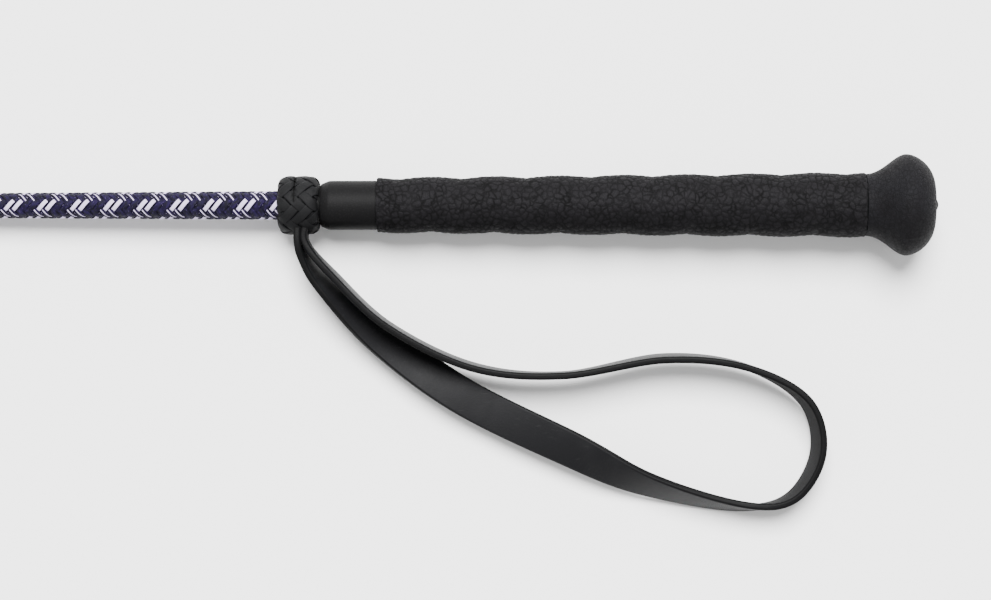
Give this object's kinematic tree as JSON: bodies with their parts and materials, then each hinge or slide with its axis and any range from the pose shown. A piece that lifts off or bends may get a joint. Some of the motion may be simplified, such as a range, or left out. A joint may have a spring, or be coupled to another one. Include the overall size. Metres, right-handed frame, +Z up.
{
  "type": "riding crop",
  "caption": "Slender braided riding crop with a pebbled grip, mushroom butt cap, woven knot, leather wrist strap and a leather keeper at the tip.",
  "frame": {"origin": "centre of the bounding box on the surface the crop lies on", "axes": "+X along the shaft to the butt cap, +Y to the side away from the wrist strap, +Z up"},
  "size_m": [0.65, 0.128, 0.036],
  "materials": {
    "glass_fibre": "satin",
    "braid": "woven, navy with pale lavender bars",
    "tube": "matt",
    "plug_wood": "bare",
    "grip_rubber": "pebbled",
    "cap": "fine leather grain",
    "knot": "satin",
    "thread": "waxed thread",
    "strap_leather": "smooth, lightly scratched",
    "keeper_leather": "smooth"
  },
  "bodies": {
    "crop": {"core_rod": "glass_fibre", "braided_cover": "braid", "handle_tube": "tube", "butt_plug": "plug_wood", "grip_sleeve": "grip_rubber", "butt_cap": "cap", "turks_head_knot": "knot", "knot_foundation": "thread", "strap_tail_front": "strap_leather", "strap_tail_rear": "strap_leather", "binding_front": "thread", "binding_rear": "thread", "keeper_root_upper": "keeper_leather", "keeper_root_lower": "keeper_leather", "keeper_whipping": "thread"},
    "wrist_strap": {"strap_loop": "strap_leather"},
    "keeper": {"keeper_flap_upper": "keeper_leather", "keeper_flap_lower": "keeper_leather"}
  },
  "joints": [
    {"name": "strap_swing", "type": "hinge", "parent": "crop", "child": "wrist_strap", "pos_m": [0.09932, 0.03237, 0.013], "axis": [0, 0, 1], "range_deg": [-75, 12]},
    {"name": "keeper_flex", "type": "hinge", "parent": "crop", "child": "keeper", "pos_m": [-0.28198, 0.04597, 0.00433], "axis": [0, 1, 0], "range_deg": [-50, 50], "stiffness_Nm_per_rad": 0.05}
  ]
}
